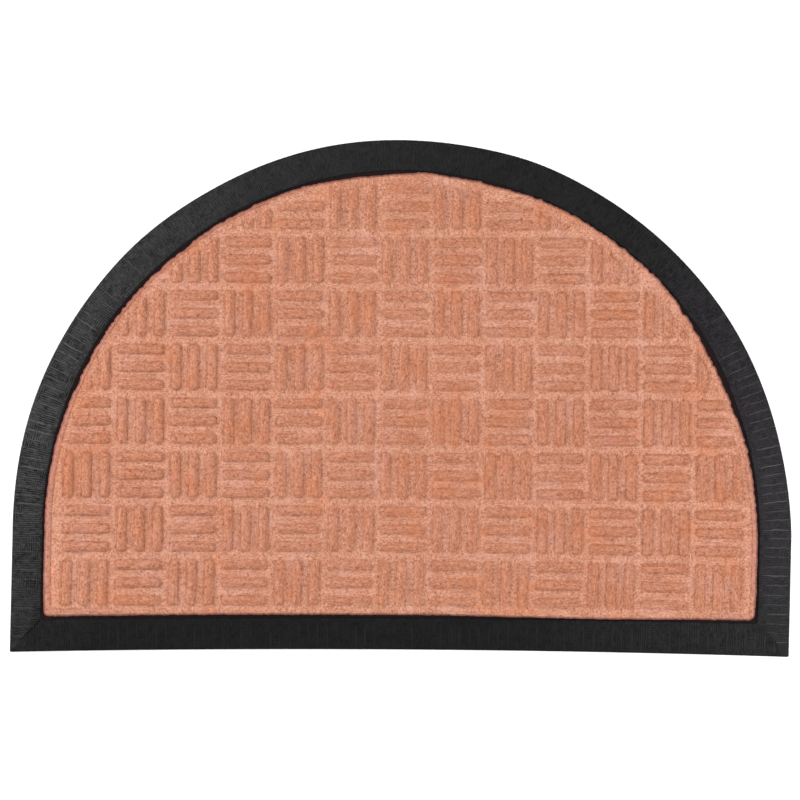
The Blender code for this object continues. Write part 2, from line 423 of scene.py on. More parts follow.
def distanceAlong(points):
    # how far each station lies along the closed line of points, and at the end its whole length
    lengths = np.linalg.norm(np.roll(points, -1, axis=0) - points, axis=1)
    return np.concatenate(([0.0], np.cumsum(lengths)))


def alongOuterEdge(ring):
    # how far along the outer edge each point of a ring lies, square to the edge
    outer = laid(drawnBorder(0.0))
    along = distanceAlong(outer)[:-1]
    left, right, count = cornerStations()
    result = along.copy()
    side = matShape["stations"]["side"]
    straightSides = (  # first station, the station after the last, axis and direction
        (left + count // 2, right + count // 2, 0, 1),
        (right + count // 2, right + count + side, 1, 1),
        (len(outer) - side, len(outer), 1, -1),
    )
    for first, end, axis, way in straightSides:
        here = slice(first, end)
        result[here] = np.interp(way * ring[here, axis], way * outer[here, axis], along[here])
    return result


def weaveNode(tree, border, coordinate, noise):
    # fine lines across one of the border's coordinates, broken up by a noise
    perMetre = 2 * math.pi / rubber["weavePitch"]
    angle = mathNode(tree, "MULTIPLY", axesOf(tree, border)[coordinate], perMetre)
    lines = mathNode(tree, "MULTIPLY", mathNode(tree, "SINE", angle, 0.0), rubber["weaveShare"])
    return mathNode(tree, "ADD", noise, lines)


def rubberTexture(tree, coords):
    # from 0 to 1, and the fine grain by itself
    axes = tree.nodes.new("ShaderNodeCombineXYZ")
    tree.links.new(attributeNode(tree, "along"), axes.inputs["X"])
    tree.links.new(attributeNode(tree, "inset"), axes.inputs["Y"])
    border = axes.outputs["Vector"]
    noises, spans = rubber["noises"], rubber["spans"]
    plain = ("blotches", "grain", "choice")
    blotches, grain, choice = [noiseNode(tree, coords, noises[name]) for name in plain]
    acrossWeave = weaveNode(tree, border, "X", noiseNode(tree, border, noises["inwards"]))
    alongWeave = weaveNode(tree, border, "Y", noiseNode(tree, border, noises["sideways"]))
    weave = mixNode(tree, rampNode(tree, choice, spans["choice"]), acrossWeave, alongWeave, "FLOAT")
    texture = 0.0
    for name, pattern in (("blotches", blotches), ("grain", grain), ("strokes", weave)):
        shown = rampNode(tree, pattern, spans[name])
        part = mathNode(tree, "MULTIPLY", shown, rubber["shares"][name])
        texture = mathNode(tree, "ADD", part, texture)
    return texture, grain


def rubberMaterial():
    material, tree, shader = startMaterial("blackRubber", rubber["finish"])
    coords = objectCoords(tree)
    texture, grain = rubberTexture(tree, coords)
    middle = 0.5  # of the texture's values, where the mottling changes nothing
    mottle = mathNode(tree, "SUBTRACT", texture, middle)
    mottle = mathNode(tree, "MULTIPLY", mottle, attributeNode(tree, "mottled"))
    wearAndSheen = mathNode(tree, "ADD", mottle, middle)
    wearAndSheen = mathNode(tree, "MULTIPLY", wearAndSheen, attributeNode(tree, "wearAndSheen"))
    place = axesOf(tree, coords)
    farRight = rampNode(tree, place["X"], *rubber["violetFromX"])
    aboveCorner = rampNode(tree, place["Y"], *rubber["violetFromY"])
    violet = mathNode(tree, "MULTIPLY", farRight, aboveCorner)
    color = mixNode(tree, texture, rubber["dark"], rubber["light"])
    dustAndSheen = mixNode(tree, violet, rubber["dustAndSheen"], rubber["violetDustAndSheen"])
    # the grey of wear and painted sheen of the side lamps, over the mottled rubber
    color = mixNode(tree, wearAndSheen, color, dustAndSheen)
    # painted shade down in the pocket beside the carpet
    color = mixNode(tree, attributeNode(tree, "sunk"), color, rubber["pocketShadeColor"])
    tree.links.new(color, shader.inputs["Base Color"])
    addBump(tree, shader, grain, rubber["bump"])
    return material


ribs = {
    "pitch": 0.0073,
    "width": 0.0013,
    "height": (0.00006, 0.00020),  # of a rib on dull rubber and on the greyest rubber, where wear and painted sheen are strongest
    "reach": (0.0008, 0.0216),  # insets between which a rib runs
    "shownOnBase": 0.45,
    "shown": [  # angle around the arch's centre, and how plain the ribs are there
        (-17.0, 0.8),
        (5.0, 1.0),
        (28.0, 0.9),
        (36.0, 0.35),
        (56.0, 0.15),
        (100.0, 0.15),
        (134.0, 0.35),
        (146.0, 0.75),
        (168.0, 1.0),
        (177.0, 0.65),
        (190.0, 0.45),
        (197.0, 0.6),
    ],
    "points": 9,
    "shortest": 0.0030,
    "taper": (0.25, 0.4),  # start of the sine that the ends follow, and its power
    "crownShare": 0.45,
    "sunk": 0.0002,
    "headingStep": 0.002,
    "placeSpread": 0.0003,
    "bendSpread": 0.0002,
    "lateStart": 0.0010,
    "earlyEnd": 0.0035,
    "cornerGap": 0.0006,
    "strengths": (0.6, 1.2),
    "tones": (0.5, 1.0),
    "wearAndSheenGain": 1.7,
    "breaks": (230.0, 2.0),
    "breaksTone": ((0.30, 0.50), (0.35, 1.0)),
    "hardAngle": 80.0,
    # the light grey of the ribs where wear and the painted highlight are strongest
    "color": (0.066, 0.063, 0.068),
    "seed": 12,
}


def ribMaterial():
    material, tree, shader = startMaterial("rubberRibs", rubber["finish"])
    breaks = noiseNode(tree, objectCoords(tree), ribs["breaks"])
    breaks = rampNode(tree, breaks, *ribs["breaksTone"])
    # ribs are painted lighter where the rubber is grey: partly wear, partly a painted highlight
    ribWearAndHighlight = mathNode(tree, "MULTIPLY", breaks, attributeNode(tree, "wearAndSheen"))
    color = mixNode(tree, ribWearAndHighlight, rubber["light"], ribs["color"])
    tree.links.new(color, shader.inputs["Base Color"])
    return material


def ridge(centreLine, sideways, height):
    # a low ridge along a line of points, with its foot sunk into the rubber and its ends tapered
    start, power = ribs["taper"]
    taper = np.sin(np.linspace(start, math.pi - start, len(centreLine))) ** power
    half = (ribs["width"] / 2) * taper[:, None]
    foot, crown = sideways * half, sideways * half * ribs["crownShare"]
    up = np.array([0.0, 0.0, 1.0])
    low = centreLine - up * ribs["sunk"]
    high = centreLine + up * (height * taper)[:, None]
    return np.stack((low - foot, high - crown, high + crown, low + foot), axis=1).reshape(-1, 3)


def ridgeFaces(steps):
    faces = []
    for step in range(steps - 1):
        low, high = step * 4, step * 4 + 4
        for side in range(4):
            after = (side + 1) % 4
            faces.append((low + side, high + side, high + after, low + after))
    faces.append((0, 1, 2, 3))
    last = (steps - 1) * 4
    faces.append((last + 3, last + 2, last + 1, last))
    return faces


def ribLine(place, edge, insets, bend):
    # a rib's points on the ramp, square to the outer edge at a place along it
    along, outer, lip = edge
    step = ribs["headingStep"]

    def pointOf(line, where):
        return np.array([np.interp(where, along, values, period=along[-1]) for values in line.T])

    foot = pointOf(outer, place)
    ahead = pointOf(outer, place + step) - pointOf(outer, place - step)
    ahead /= np.hypot(ahead[0], ahead[1])
    inwards = np.array([-ahead[1], ahead[0]])
    fullReach = np.dot(pointOf(lip, place) - foot, inwards)
    flat = foot + insets[:, None] * inwards + bend[:, None] * ahead
    heights = rampHeight(insets * ribs["reach"][1] / fullReach)
    return np.column_stack((flat, heights)), np.append(ahead, 0.0)


def addBorderRibs():
    outer = laid(drawnBorder(0.0))
    lip = laid(drawnBorder(ribs["reach"][1]))
    along = distanceAlong(outer)
    edge = (along, np.vstack((outer, outer[:1])), np.vstack((lip, lip[:1])))
    wearAndSheen, _ = wearAndSheenStations()
    (shown,) = readAround(drawnBorder(0.0), ribs["shown"])
    left, right, count = cornerStations()
    cornersAlong = np.array([along[left + count // 2], along[right + count // 2], along[-1]])
    rng = np.random.default_rng(ribs["seed"])
    number = int(round(along[-1] / ribs["pitch"]))
    steps = ribs["points"]
    verts, faces, ribWearAndHighlight = [], [], []
    for index in range(number):
        place = (index + 0.5) * along[-1] / number + rng.normal(0.0, ribs["placeSpread"])
        bend = rng.normal(0.0, ribs["bendSpread"], steps)
        start = ribs["reach"][0] + rng.uniform(0.0, ribs["lateStart"])
        end = ribs["reach"][1] - rng.uniform(0.0, ribs["earlyEnd"])
        strength, broken = rng.uniform(*ribs["strengths"]), rng.uniform(*ribs["tones"])
        end = min(end, np.abs(cornersAlong - place).min() - ribs["cornerGap"])
        if end - start < ribs["shortest"]:
            continue
        line, ahead = ribLine(place, edge, np.linspace(start, end, steps), bend)
        wearAndSheenHere = min(1.0, ribs["wearAndSheenGain"] * np.interp(place, along[:-1], wearAndSheen))
        wearAndSheenHere *= np.interp(place, along[:-1], shown)
        if cornersAlong[0] < place < cornersAlong[1]:
            wearAndSheenHere *= ribs["shownOnBase"]
        height = ribs["height"][0] + (ribs["height"][1] - ribs["height"][0]) * wearAndSheenHere
        firstCorner = len(verts) * steps * 4
        verts.append(ridge(line, -ahead, height * strength))
        faces.extend([tuple(corner + firstCorner for corner in face) for face in ridgeFaces(steps)])
        ribWearAndHighlight.extend([wearAndSheenHere * broken] * (steps * 4))
    piece = addMesh("borderRibs", np.vstack(verts), faces, ribMaterial())
    addAttribute(piece, "wearAndSheen", ribWearAndHighlight)
    markHardEdges(piece, ribs["hardAngle"])
    print("border ribs made,", len(verts))


def addRubber():
    rings = [borderRing(inset, height) for inset, height in rubber["ramp"]]
    shade = np.ones((len(rings), len(rings[0])))
    sunk = np.zeros_like(shade)
    sunk[-len(rubber["pocketShadeTones"]) :] = np.array(rubber["pocketShadeTones"])[:, None]
    left, right, count = cornerStations()
    deepest = max(rubber["mitreDepths"])
    for start, depth in zip((left, right), rubber["mitreDepths"]):
        for level in range(*rubber["mitreRings"]):
            rings[level][start + 1 : start + count - 1, 2] -= depth
            # painted shade in the mitre dip: the grey of wear and sheen is taken out there
            shade[level, start + 1 : start + count - 1] = 1.0 - depth / deepest
    verts, faces = meshFromRings(rings, closeTop=True)
    backing = addMesh("rubberBacking", verts, faces, rubberMaterial())
    wearAndSheen, mottled = wearAndSheenStations()
    # sunk says how much of the pocket's painted shade each point gets
    addAttribute(backing, "sunk", sunk.ravel())
    addAttribute(backing, "along", np.concatenate([alongOuterEdge(ring) for ring in rings]))
    addAttribute(backing, "inset", np.repeat([inset for inset, _ in rubber["ramp"]], len(rings[0])))
    addAttribute(backing, "wearAndSheen", (wearAndSheen * shade).ravel())
    addAttribute(backing, "mottled", np.tile(mottled, len(rings)))
    markHardEdges(backing, rubber["hardAngle"])
    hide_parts("rubber_backing")
    print("rubber made,", len(backing.data.polygons), "faces")


carpet = {
    "sideGap": 0.0029,
    "baseGap": 0.0028,
    "corners": (0.0032, 0.0045),
    "fieldTop": 0.0050,
    "swells": [  # angle on the arch and spread in degrees, and amount
        (9.0, 13.0, -0.0017),
        (26.0, 9.0, -0.0030),
        (44.0, 4.0, 0.0006),
        (55.0, 15.0, 0.0019),
        (66.0, 5.0, 0.0008),
        (85.0, 6.0, 0.0011),
        (95.0, 5.0, -0.0004),
        (108.0, 5.0, 0.0010),
        (120.0, 4.0, 0.0006),
        (144.0, 18.0, -0.0006),
    ],
    "nicks": [  # the same for small dents and bumps of the cut edge
        (13.5, 0.8, 0.0007),
        (20.0, 1.0, -0.0009),
        (34.4, 1.0, -0.0011),
        (38.0, 0.7, -0.0008),
        (67.4, 0.6, 0.0008),
        (69.0, 0.6, 0.0008),
        (77.2, 0.7, 0.0009),
        (86.5, 1.8, 0.0009),
        (106.0, 0.6, 0.0007),
        (114.5, 0.5, 0.0006),
        (127.5, 1.1, -0.0009),
        (131.2, 0.8, 0.0005),
        (145.0, 1.4, 0.0006),
        (155.3, 0.9, -0.0010),
    ],
    "ragged": [  # angle around the arch's centre, and how ragged the cut edge is there
        (-168.0, 0.7),
        (-17.0, 0.7),
        (0.0, 0.9),
        (22.0, 1.7),
        (50.0, 1.9),
        (75.0, 1.2),
        (100.0, 1.2),
        (122.0, 1.9),
        (152.0, 2.0),
        (166.0, 1.0),
        (180.0, 0.6),
    ],
    "sag": {"centre": 0.149, "spread": 0.081, "drop": 0.0021},
    "taper": {"share": 0.0047, "height": 0.030},
    "edge": [  # inset from the carpet's own edge and height above the floor
        (-0.0004, 0.0023),
        (-0.0004, 0.0030),
        (0.0, 0.0038),
        (0.0004, 0.0044),
        (0.0009, 0.00475),
        (0.0015, 0.00492),
    ],
    "pressedLine": [  # angle around the arch's centre, the line's inset, and how plain it is
        (-168.0, 0.0050, 0.9),
        (-164.0, 0.0052, 0.0),
        (-16.0, 0.0045, 0.0),
        (-12.0, 0.0039, 0.7),
        (0.0, 0.0038, 0.8),
        (12.0, 0.0034, 0.6),
        (25.0, 0.0025, 0.15),
        (90.0, 0.0020, 0.1),
        (104.0, 0.0020, 0.3),
        (114.0, 0.0019, 0.9),
        (146.0, 0.0022, 1.0),
        (158.0, 0.0032, 1.0),
        (168.0, 0.0042, 1.0),
        (180.0, 0.0049, 1.0),
    ],
    "lineRings": (-0.0008, -0.0004, 0.0, 0.0004, 0.0008),  # rings of the mesh beside that line
    "lineWidth": 0.0008,
    "lineDepth": 0.0003,
    "rimFade": 0.0008,
    "lastRing": 0.0060,
    "ringGap": 0.0002,  # least distance of the line's rings from those beside them
    "fieldGap": 0.0004,  # from the last ring to the field of quads
    "sharpestCorner": 0.0004,
    "cellPitch": (0.0407, 0.04125),
    "firstCell": (0.0004, 0.0509),
    "drift": {  # how the real bars stray from an even pattern
        "columnLean": 0.0087,
        "rowTurn": -0.0043,
        "drawnIn": 0.0018,
        "drawnInLength": 0.64,
        "steps": 4,
    },
    "rows": 8,
    "columnsEachSide": 6,
    "barPitch": 0.01365,
    "barLength": 0.0350,
    "barWidth": 0.0074,
    "barCorner": 0.0024,
    "barHeight": 0.0014,
    "barWall": 0.0011,
    "wallShare": 0.2,
    "barUneven": 0.00032,
    "barLump": 0.0042,
    "creaseDepth": 0.00012,
    "creaseWidth": 0.0006,
    "creaseOutside": 0.0001,
    "barsCircle": {"radius": 0.2635, "lift": 0.0035},
    "barLines": (0.0, 0.0016, 0.0028, 0.0037, 0.0047),  # the mesh's grid lines, from a bar's middle
    "raggedEdge": 0.00028,
    "raggedWaves": [(1.5, 0.5), (2.5, 0.6), (9.0, 0.25), (31.0, 0.25)],  # stations and strength
    "raggedLimits": (-1.6, 1.3),
    "raggedReach": 0.0040,
    "lumps": {"height": 0.00007, "size": 0.0045},
    "pileGrain": {"height": 0.000042, "limit": 2.0},
    # deep is the dark of the pile's grain, and also the painted shade in the creases
    "deep": (0.215, 0.056, 0.022),
    "mid": (0.384, 0.147, 0.085),
    "pale": (0.500, 0.267, 0.183),
    "pink": (0.508, 0.268, 0.206),
    "orange": (0.485, 0.174, 0.082),
    "barColor": (0.285, 0.079, 0.026),
    "onBar": 0.36,
    "barShade": (0.0001, 0.0018),  # how far inside the foot the bar's colour starts, and its width
    "cellFade": 0.0015,
    "foot": {  # the painted shade line at the bars' feet
        "inside": 0.0002,
        "width": 0.0009,
        "sides": (0.03, 0.17),  # distances from the mat's middle to the left or right
        "strength": (0.55, 0.85),
        "lowSides": (-0.10, 0.02),  # places along the straight edge
        "lowShare": (0.8, 0.15),
        "lowFade": 0.0020,
    },
    "gapNoise": (260.0, 1.0),
    "shadeInCrease": ((0.34, 0.60), (0.42, 0.78)),
    "onRim": 0.60,
    "rimColor": (0.375, 0.170, 0.128),
    "edgeShade": (-0.0006, 0.0026),  # the inset where the shade starts, and its width
    "edgeShadeColor": (0.125, 0.022, 0.015),
    "inUprightCell": 0.3,
    "noises": {  # scale, detail and, where it is stretched, the scale along each axis
        "levelFibre": (1000.0, 2.0, (0.5, 1.0, 1.0)),
        "uprightFibre": (1000.0, 2.0, (1.0, 0.5, 1.0)),
        "levelRibbing": (480.0, 1.0, (0.12, 1.0, 1.0)),
        "uprightRibbing": (480.0, 1.0, (1.0, 0.12, 1.0)),
        "patches": (150.0, 2.0),
        "clumps": (380.0, 2.0),
        "stains": (38.0, 2.0),
        "broad": (9.0, 2.0),
    },
    "turnSpan": (0.85, 1.15),  # where the fibre turns from level to upright
    "moreOnBars": ((0.0, 1.0), (0.5, 1.0)),
    "layers": [  # pattern, its span, share at both ends, colour, and if it is the same off the bars
        ("fibre", (0.36, 0.64), (0.0, 1.0), "pale", True),
        ("stains", (0.32, 0.48), (0.45, 0.0), "pink", True),
        ("stains", (0.54, 0.68), (0.0, 0.42), "orange", True),
        ("fibre", (0.32, 0.42), (0.40, 0.0), "deep", False),
        ("clumps", (0.32, 0.50), (0.12, 0.0), "deep", True),
        ("clumps", (0.54, 0.70), (0.0, 0.18), "pale", True),
        ("ribbing", (0.38, 0.56), (0.24, 0.0), "deep", True),
        ("broad", (0.3, 0.7), (0.0, 0.08), "deep", True),
    ],
    "bump": (0.6, 0.0003),
    "hardAngle": 60.0,
    "finish": {"roughness": 0.92, "specular": 0.10, "sheen": 0.08, "sheenRoughness": 0.55},
    "seeds": {"ragged": 23, "lumps": 24, "grain": 25, "bars": 26},
}


def trimming(points, base):
    # how the cut strays: the straight edge hangs low on the right, and the sides draw in above it
    sag, taper = carpet["sag"], carpet["taper"]
    drop = sag["drop"] * bell(points[:, 0], sag["centre"], sag["spread"])
    drop *= np.maximum(0.0, 1.0 - points[:, 1] / matShape["sideHeight"])
    low = np.maximum(0.0, 1.0 - (points[:, 1] - base) / taper["height"])
    return drop, 1.0 - taper["share"] * low**2


def depthInside(points):
    # how far points of the drawing lie inside the carpet's own edge
    base = matShape["baseBorder"] + carpet["baseGap"]
    drop, narrowing = trimming(points, base)
    x, up = points[:, 0] / narrowing, np.maximum(points[:, 1] - matShape["sideHeight"], 0.0)
    radius = matShape["halfWidth"] - matShape["border"] - carpet["sideGap"]
    angle = np.degrees(np.arctan2(up, x))
    fromArch = radius + swellAt(angle, carpet["swells"]) - np.hypot(x, up)
    fromBase = points[:, 1] + drop - base
    corner = np.where(x < 0, carpet["corners"][0], carpet["corners"][1])
    rounded = corner - np.hypot(corner - fromArch, corner - fromBase)
    inCorner = (fromArch < corner) & (fromBase < corner)
    return np.where(inCorner, rounded, np.minimum(fromArch, fromBase))


def pressedLine(points):
    # for points of the drawing: where the pressed line runs and how plain it is there
    return readAround(points, carpet["pressedLine"])


def lineTone(points):
    # 1 in the pressed line along the edge
    inset, share = pressedLine(points)
    return share * bell(depthInside(points), inset, carpet["lineWidth"])


def rimTone(points):
    # 1 on the strip outside the pressed line
    inset, share = pressedLine(points)
    return share * np.clip((inset - depthInside(points)) / carpet["rimFade"], 0.0, 1.0)


def edgeShadeTone(points):
    # 1 at the foot of the cut edge, where shade is painted, and 0 on the pile behind it
    return 1.0 - smoothStep(depthInside(points), *carpet["edgeShade"])


def raggedness(drawn):
    # how far each station of the carpet's cut edge stands out, in metres
    rng = np.random.default_rng(carpet["seeds"]["ragged"])
    count = len(drawn)
    total = np.zeros(count)
    for period, share in carpet["raggedWaves"]:
        knots = int(count / period)
        values = rng.normal(0.0, share, knots)
        total += np.interp(np.arange(count), np.arange(knots) * period, values, period=count)
    (share,) = readAround(drawn, carpet["ragged"])
    ragged = np.clip(total, *carpet["raggedLimits"]) * carpet["raggedEdge"] * share
    return ragged + swellAt(angleAround(drawn), carpet["nicks"])


def carpetRing(inset):
    # the carpet's outline drawn in from its own edge, in the drawing
    side = matShape["border"] + carpet["sideGap"] + inset
    base = matShape["baseBorder"] + carpet["baseGap"] + inset
    corners = [max(corner - inset, carpet["sharpestCorner"]) for corner in carpet["corners"]]
    points = drawnOutline(side, base, corners, carpet["swells"])
    drop, narrowing = trimming(points, base)
    return np.column_stack((points[:, 0] * narrowing, points[:, 1] - drop))


def layRing(drawn, inset, height, ragged):
    # a ring as it lies, its points moved by the raggedness of the edge
    points = laid(drawn)
    along = np.roll(points, -1, axis=0) - np.roll(points, 1, axis=0)
    along /= np.linalg.norm(along, axis=1)[:, None]
    outwards = np.column_stack((along[:, 1], -along[:, 0]))
    strength = np.clip(1.0 - inset / carpet["raggedReach"], 0.0, 1.0)
    points = points + outwards * (ragged * strength)[:, None]
    return np.column_stack((points, np.broadcast_to(height, len(points))))


def rimRings():
    # the rings of the carpet's edge, as drawn and as they lie
    first, last, gap = carpet["edge"][-1][0], carpet["lastRing"], carpet["ringGap"]
    outermost, innermost = carpetRing(first), carpetRing(last)
    ragged = raggedness(outermost)
    drawnRings, rings = [], []
    for inset, height in carpet["edge"]:
        drawnRings.append(carpetRing(inset))
        rings.append(layRing(drawnRings[-1], inset, height, ragged))
    lineInset, _ = pressedLine(outermost)
    for offset in carpet["lineRings"]:
        inset = np.clip(lineInset + offset, first + gap, last - gap)
        share = (inset - first) / (last - first)
        drawnRings.append(outermost + (innermost - outermost) * share[:, None])
        rings.append(layRing(drawnRings[-1], inset, carpetHeight(drawnRings[-1]), ragged))
    drawnRings.append(innermost)
    rings.append(layRing(innermost, last, carpetHeight(innermost), ragged))
    return drawnRings, rings


def driftOf(even):
    # how far the real bar pattern strays from an even one, for points of the even one
    drift = carpet["drift"]
    offX, offY = (even - np.array(carpet["firstCell"])).T
    inwards = drift["drawnIn"] * np.sin(2 * math.pi * offX / drift["drawnInLength"])
    return np.column_stack((drift["columnLean"] * offY - inwards, drift["rowTurn"] * offX))


def evenPattern(points):
    # the points of the even bar pattern that lie at these points of the drawing, found step by step
    even = points
    for _ in range(carpet["drift"]["steps"]):
        even = points - driftOf(even)
    return even


def placeInCell(points):
    # where points of the drawing lie across and along their cell's bars, and if those are upright
    pitchX, pitchY = carpet["cellPitch"]
    pattern = evenPattern(points) - np.array(carpet["firstCell"])
    outermost = carpet["columnsEachSide"]
    row = np.clip(np.round(pattern[:, 1] / pitchY), 0, carpet["rows"] - 1)
    column = np.clip(np.round(pattern[:, 0] / pitchX), -outermost, outermost)
    localX = pattern[:, 0] - column * pitchX
    localY = pattern[:, 1] - row * pitchY
    upright = (row + column) % 2 == 0
    return np.where(upright, localX, localY), np.where(upright, localY, localX), upright


def barField(points):
    # for points of the drawing: distance inside the nearest bar's foot, negative outside it
    across, along, _ = placeInCell(points)
    seed = carpet["seeds"]["bars"]
    index = np.clip(np.round(across / carpet["barPitch"]), -1, 1)
    corner = carpet["barCorner"]
    beyondSide = np.abs(across - index * carpet["barPitch"]) - carpet["barWidth"] / 2 + corner
    beyondEnd = np.abs(along) - carpet["barLength"] / 2 + corner
    roundPart = np.hypot(np.maximum(beyondSide, 0.0), np.maximum(beyondEnd, 0.0))
    fromFoot = corner - roundPart - np.minimum(np.maximum(beyondSide, beyondEnd), 0.0)
    fromFoot += carpet["barUneven"] * wobble(points, carpet["barLump"], seed)
    circle = carpet["barsCircle"]
    up = np.maximum(points[:, 1] - matShape["sideHeight"] - circle["lift"], 0.0)
    fromCircle = np.where(up > 0, circle["radius"] - np.hypot(points[:, 0], up), 1.0)
    return np.minimum(fromFoot, fromCircle)


def carpetHeight(points):
    # height of the pile over the floor, for points of the drawing
    depth = barField(points)
    wallShare = carpet["wallShare"]
    wall = np.sin(np.clip(depth / carpet["barWall"], 0.0, 1.0) * math.pi / 2)
    dome = np.clip(depth / (carpet["barWidth"] / 2), 0.0, 1.0)
    profile = wallShare * wall + (1.0 - wallShare) * (1.0 - (1.0 - dome) ** 2)
    crease = bell(depth, -carpet["creaseOutside"], carpet["creaseWidth"])
    pressed = carpet["creaseDepth"] * crease + carpet["lineDepth"] * lineTone(points)
    return carpet["fieldTop"] + carpet["barHeight"] * profile - pressed


def barTone(points):
    # 1 on a bar and 0 on the field, but a little more between upright bars
    onBar = smoothStep(barField(points), *carpet["barShade"])
    across, along, upright = placeInCell(points)
    threeBars = 3 * carpet["barPitch"]
    fromSide = threeBars / 2 - np.abs(across)
    fromEnd = carpet["barLength"] / 2 - np.abs(along)
    inside = np.clip(np.minimum(fromSide, fromEnd) / carpet["cellFade"], 0.0, 1.0)
    return np.maximum(onBar, inside * upright * carpet["inUprightCell"])


def uprightTone(points):
    # 1 where the bars of the cell run up the picture
    return placeInCell(points)[2].astype(float)


def creaseShadeTone(points):
    # how much shade is painted at a place: in the crease at a bar's foot or in the pressed line
    # along the edge
    foot = carpet["foot"]
    strength = np.interp(np.abs(points[:, 0]), foot["sides"], foot["strength"])
    atFoot = strength * bell(barField(points), foot["inside"], foot["width"])
    lowest = carpet["firstCell"][1] - carpet["barLength"] / 2
    low = np.clip(1.0 - (evenPattern(points)[:, 1] - lowest) / foot["lowFade"], 0.0, 1.0)
    atFoot *= 1.0 - low * (1.0 - np.interp(points[:, 0], foot["lowSides"], foot["lowShare"]))
    return np.maximum(atFoot, lineTone(points))


def gridLines(first, pitch, cells):
    # positions of the mesh's grid lines in one direction, close together at the bars' walls
    offsets = []
    for index in (-1, 0, 1):
        for reach in carpet["barLines"]:
            offsets.extend({index * carpet["barPitch"] + reach, index * carpet["barPitch"] - reach})
    offsets = np.array(sorted(offsets))
    offsets = offsets[(offsets > -pitch / 2) & (offsets < pitch / 2)]
    lines = [first + cell * pitch + offsets for cell in cells]
    lines.append([first + (cell + 0.5) * pitch for cell in cells])
    micrometre = 6  # decimals of a metre
    return np.unique(np.round(np.concatenate(lines), micrometre))


def outlineOf(quads):
    # the points around a field of quads, in order
    sides = [np.column_stack((quads[:, corner], quads[:, (corner + 1) % 4])) for corner in range(4)]
    sides = np.concatenate(sides).tolist()
    inner = {(end, start) for start, end in sides}
    following = dict(side for side in sides if tuple(side) not in inner)
    loop = [min(following)]
    while following[loop[-1]] != loop[0]:
        loop.append(following[loop[-1]])
    return loop


def fillBetween(verts, outerLoop, innerLoop):
    # triangles between two closed lines of points
    corners = outerLoop + innerLoop
    polygons = [list(range(len(outerLoop))), list(range(len(outerLoop), len(corners)))]
    flat = [Vector(verts[corner][:2]) for corner in corners]
    insideOnly, samePoint = 1, 1e-7
    filled = delaunay_2d_cdt(flat, [], polygons, insideOnly, samePoint)
    _, _, triangles, sources, _, polygonsAround = filled
    kept = [triangle for triangle, around in zip(triangles, polygonsAround) if around == [0]]
    return [[corners[sources[corner][0]] for corner in triangle] for triangle in kept]


def pileHeights(drawn, flat):
    # heights of the field's points, with the pile's lumps
    lump, grain, seeds = carpet["lumps"], carpet["pileGrain"], carpet["seeds"]
    heights = carpetHeight(drawn)
    heights += lump["height"] * wobble(flat, lump["size"], seeds["lumps"])
    rng = np.random.default_rng(seeds["grain"])
    stray = rng.normal(0.0, 1.0, len(flat)).clip(-grain["limit"], grain["limit"])
    heights += grain["height"] * stray
    return heights


def addCarpet():
    drawnRings, rings = rimRings()
    verts, faces = meshFromRings(rings)

    columns = range(-carpet["columnsEachSide"] - 1, carpet["columnsEachSide"] + 2)
    xs = gridLines(carpet["firstCell"][0], carpet["cellPitch"][0], columns)
    ys = gridLines(carpet["firstCell"][1], carpet["cellPitch"][1], range(-1, carpet["rows"] + 1))
    gridX, gridY = np.meshgrid(xs, ys)
    even = np.column_stack((gridX.ravel(), gridY.ravel()))
    drawn = even + driftOf(even)
    keep = depthInside(drawn) > carpet["lastRing"] + carpet["fieldGap"]
    flat = laid(drawn)
    heights = pileHeights(drawn, flat)

    index = np.arange(len(drawn)).reshape(gridX.shape)
    quads = np.stack((index[:-1, :-1], index[:-1, 1:], index[1:, 1:], index[1:, :-1]), axis=-1)
    quads = quads.reshape(-1, 4)
    quads = quads[keep[quads].all(axis=1)]
    used = np.unique(quads)
    newIndex = np.full(len(drawn), -1)
    newIndex[used] = np.arange(len(used)) + len(verts)
    allVerts = np.vstack((verts, np.column_stack((flat[used], heights[used]))))
    field = newIndex[quads]
    lastRing = list(range(len(verts) - len(rings[-1]), len(verts)))
    allFaces = faces + field.tolist() + fillBetween(allVerts, lastRing, outlineOf(field))

    panel = addMesh("carpetPanel", allVerts, allFaces, carpetMaterial())
    shape = bmesh.new()
    shape.from_mesh(panel.data)
    stillOpen = sum(1 for edge in shape.edges if not edge.is_contiguous)
    shape.free()
    everyPoint = np.vstack(drawnRings + [drawn[used]])
    addPileTones(panel, everyPoint, 1)
    addAttribute(panel, "upright", uprightTone(everyPoint))
    markHardEdges(panel, carpet["hardAngle"])
    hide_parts("carpet_panel")
    triangles = sum(len(face.vertices) - 2 for face in panel.data.polygons)
    print("carpet made,", triangles, "triangles,", stillOpen, "open edges")
    return panel


def addPileTones(piece, points, repeats):
    # the attributes that the pile's materials read, each value for one point or a fibre's points
    tones = {"bar": barTone, "crease": creaseShadeTone, "rim": rimTone, "edge": edgeShadeTone}
    for name, tone in tones.items():
        addAttribute(piece, name, np.repeat(tone(points), repeats))


def pileColor(tree, coords, color):
    # changes a colour on the bars and on the rim, and paints shade in the creases and at the cut
    # edge
    creaseShadeShare = rampNode(tree, noiseNode(tree, coords, carpet["gapNoise"]), *carpet["shadeInCrease"])
    over = (
        ("bar", carpet["onBar"], "barColor"),
        ("crease", creaseShadeShare, "deep"),
        ("rim", carpet["onRim"], "rimColor"),
        # the edge's colour is painted shade at the foot of the cut edge
        ("edge", 1.0, "edgeShadeColor"),
    )
    for name, share, shade in over:
        here = mathNode(tree, "MULTIPLY", attributeNode(tree, name), share)
        color = mixNode(tree, here, color, carpet[shade])
    return color


